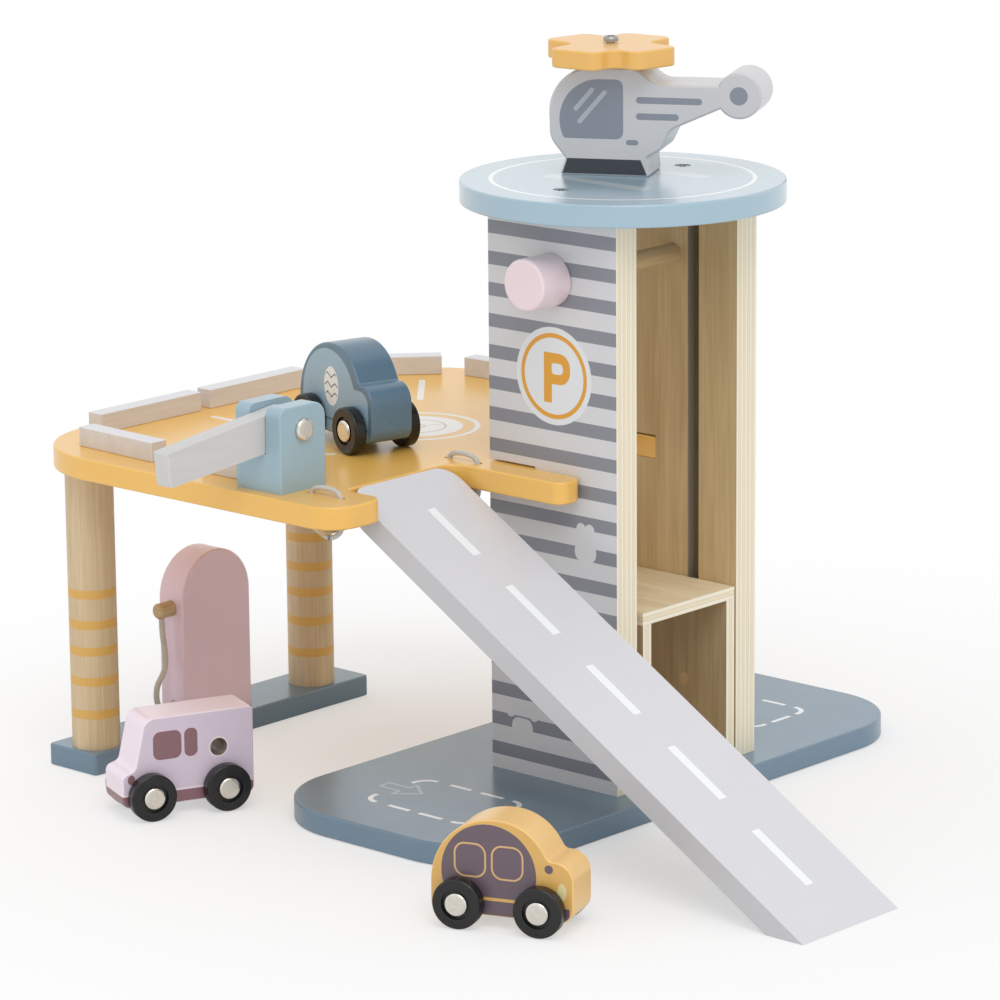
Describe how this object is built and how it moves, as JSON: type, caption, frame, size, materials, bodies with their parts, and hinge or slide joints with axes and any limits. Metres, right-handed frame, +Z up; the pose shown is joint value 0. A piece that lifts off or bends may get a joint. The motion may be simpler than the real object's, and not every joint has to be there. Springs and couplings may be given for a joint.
{
  "type": "toy parking garage",
  "caption": "Wooden toy parking garage with a wound lift in a tower, helipad, upper deck, barrier, ramp and fuel pump, with a helicopter and toy cars.",
  "frame": {"origin": "on the underside of the base board, under the middle of the tower", "axes": "+Z up; +Y from the tower towards the far end of the deck; the striped tower wall faces -X and the ramp runs down towards -Y"},
  "size_m": [0.3258, 0.385, 0.2998],
  "materials": {
    "beech": "clear beech, satin",
    "cap_chrome": "bright",
    "car_blue": "painted wood, satin",
    "car_yellow": "painted wood, satin",
    "elastic_cord": "round covered elastic",
    "hose_cord": "round woven cord",
    "lilac_paint": "painted wood, satin",
    "pale_blue": "painted wood, satin",
    "pale_grey": "painted wood, satin",
    "pink_paint": "painted wood, satin",
    "plywood": "clear plywood, satin",
    "rotor_yellow": "painted wood, satin",
    "screw_steel": "zinc-plated, bright",
    "slate_board": "painted board, satin",
    "striped_ply": "printed plywood wall, satin",
    "wheel_black": "satin black",
    "white_wash": "thin white paint on wood",
    "yellow_board": "painted board, satin"
  },
  "bodies": {
    "garage": {"base_board": "slate_board", "base_screws": "screw_steel", "tower_wall_striped": "striped_ply", "tower_wall_slotted": "plywood", "helipad": "pale_blue", "helipad_screws": "screw_steel", "deck": "yellow_board", "deck_rail_1": "white_wash", "deck_rail_2": "white_wash", "deck_rail_3": "white_wash", "deck_rail_4": "white_wash", "deck_rail_5": "white_wash", "deck_rail_6": "white_wash", "foot_bar": "slate_board", "foot_screws": "screw_steel", "post_left": "beech", "post_right": "beech", "pump_body": "pink_paint", "pump_hose": "hose_cord", "barrier_block": "pale_blue", "barrier_block_screws": "screw_steel", "barrier_bolt": "cap_chrome", "elastic_left": "elastic_cord", "elastic_right": "elastic_cord"},
    "ramp": {"ramp": "pale_grey", "ramp_crossbar": "pale_grey"},
    "lift": {"lift_roof": "plywood", "lift_floor": "plywood", "lift_side_left": "plywood", "lift_side_right": "plywood", "lift_guide_pin": "beech"},
    "winch": {"winch_rod": "beech", "winch_knob": "pink_paint", "winch_collar": "beech"},
    "boom": {"barrier_boom": "pale_grey"},
    "helicopter": {"helicopter_body": "pale_grey", "rotor_screw": "screw_steel"},
    "rotor": {"rotor": "rotor_yellow"},
    "nozzle": {"pump_nozzle": "beech"},
    "yellow_car": {"yellow_car_body": "car_yellow"},
    "yellow_car_front_wheelset": {"yellow_car_front_axle": "cap_chrome", "yellow_car_front_wheels": "wheel_black"},
    "yellow_car_rear_wheelset": {"yellow_car_rear_axle": "cap_chrome", "yellow_car_rear_wheels": "wheel_black"},
    "pink_van": {"pink_van_body": "lilac_paint"},
    "pink_van_front_wheelset": {"pink_van_front_axle": "cap_chrome", "pink_van_front_wheels": "wheel_black"},
    "pink_van_rear_wheelset": {"pink_van_rear_axle": "cap_chrome", "pink_van_rear_wheels": "wheel_black"},
    "blue_car": {"blue_car_body": "car_blue"},
    "blue_car_front_wheelset": {"blue_car_front_axle": "cap_chrome", "blue_car_front_wheels": "wheel_black"},
    "blue_car_rear_wheelset": {"blue_car_rear_axle": "cap_chrome", "blue_car_rear_wheels": "wheel_black"}
  },
  "joints": [
    {"name": "lift_slide", "type": "slide", "parent": "garage", "child": "lift", "axis": [0, 0, 1], "range_m": [0, 0.121]},
    {"name": "winch_turn", "type": "hinge", "parent": "garage", "child": "winch", "pos_m": [0, 0, 0.2115], "axis": [1, 0, 0], "continuous": true},
    {"name": "ramp_swing", "type": "hinge", "parent": "garage", "child": "ramp", "pos_m": [0, 0.0406, 0.1346], "axis": [-1, 0, 0], "range_deg": [0, 18], "deforming": ["elastic_left", "elastic_right"]},
    {"name": "barrier_lift", "type": "hinge", "parent": "garage", "child": "boom", "pos_m": [-0.127, 0.06525, 0.159], "axis": [0, 1, 0], "range_deg": [0, 85]},
    {"name": "helicopter_lift", "type": "slide", "parent": "garage", "child": "helicopter", "axis": [0, 0, 1], "range_m": [0, 0.06]},
    {"name": "rotor_spin", "type": "hinge", "parent": "helicopter", "child": "rotor", "pos_m": [0.00774, 0.01261, 0.2897], "axis": [0, 0, 1], "continuous": true},
    {"name": "nozzle_pull", "type": "slide", "parent": "garage", "child": "nozzle", "axis": [-1, 0, 0], "range_m": [0, 0.01], "deforming": ["pump_hose"]},
    {"name": "yellow_car_roll", "type": "slide", "parent": "garage", "child": "yellow_car", "axis": [0.3535, -0.9354, 0], "range_m": [0, 0.05]},
    {"name": "yellow_car_front_turn", "type": "hinge", "parent": "yellow_car", "child": "yellow_car_front_wheelset", "pos_m": [-0.1589, -0.10133, 0.0095], "axis": [0.9354, 0.3535, 0], "continuous": true},
    {"name": "yellow_car_rear_turn", "type": "hinge", "parent": "yellow_car", "child": "yellow_car_rear_wheelset", "pos_m": [-0.1701, -0.07167, 0.0095], "axis": [0.9354, 0.3535, 0], "continuous": true},
    {"name": "pink_van_roll", "type": "slide", "parent": "garage", "child": "pink_van", "axis": [-0.9239, 0.3827, 0], "range_m": [0, 0.06]},
    {"name": "pink_van_front_turn", "type": "hinge", "parent": "pink_van", "child": "pink_van_front_wheelset", "pos_m": [-0.15774, 0.11617, 0.0095], "axis": [-0.3827, -0.9239, 0], "continuous": true},
    {"name": "pink_van_rear_turn", "type": "hinge", "parent": "pink_van", "child": "pink_van_rear_wheelset", "pos_m": [-0.12846, 0.10403, 0.0095], "axis": [-0.3827, -0.9239, 0], "continuous": true},
    {"name": "blue_car_roll", "type": "slide", "parent": "garage", "child": "blue_car", "axis": [-0.2622, -0.965, 0], "range_m": [-0.05, 0.015]},
    {"name": "blue_car_front_turn", "type": "hinge", "parent": "blue_car", "child": "blue_car_front_wheelset", "pos_m": [-0.05856, 0.0795, 0.1446], "axis": [0.965, -0.2622, 0], "continuous": true},
    {"name": "blue_car_rear_turn", "type": "hinge", "parent": "blue_car", "child": "blue_car_rear_wheelset", "pos_m": [-0.05024, 0.1101, 0.1446], "axis": [0.965, -0.2622, 0], "continuous": true}
  ],
  "couplings": [
    {"joint": "winch_turn", "follows": "lift_slide", "rad_per_m": 250}
  ]
}
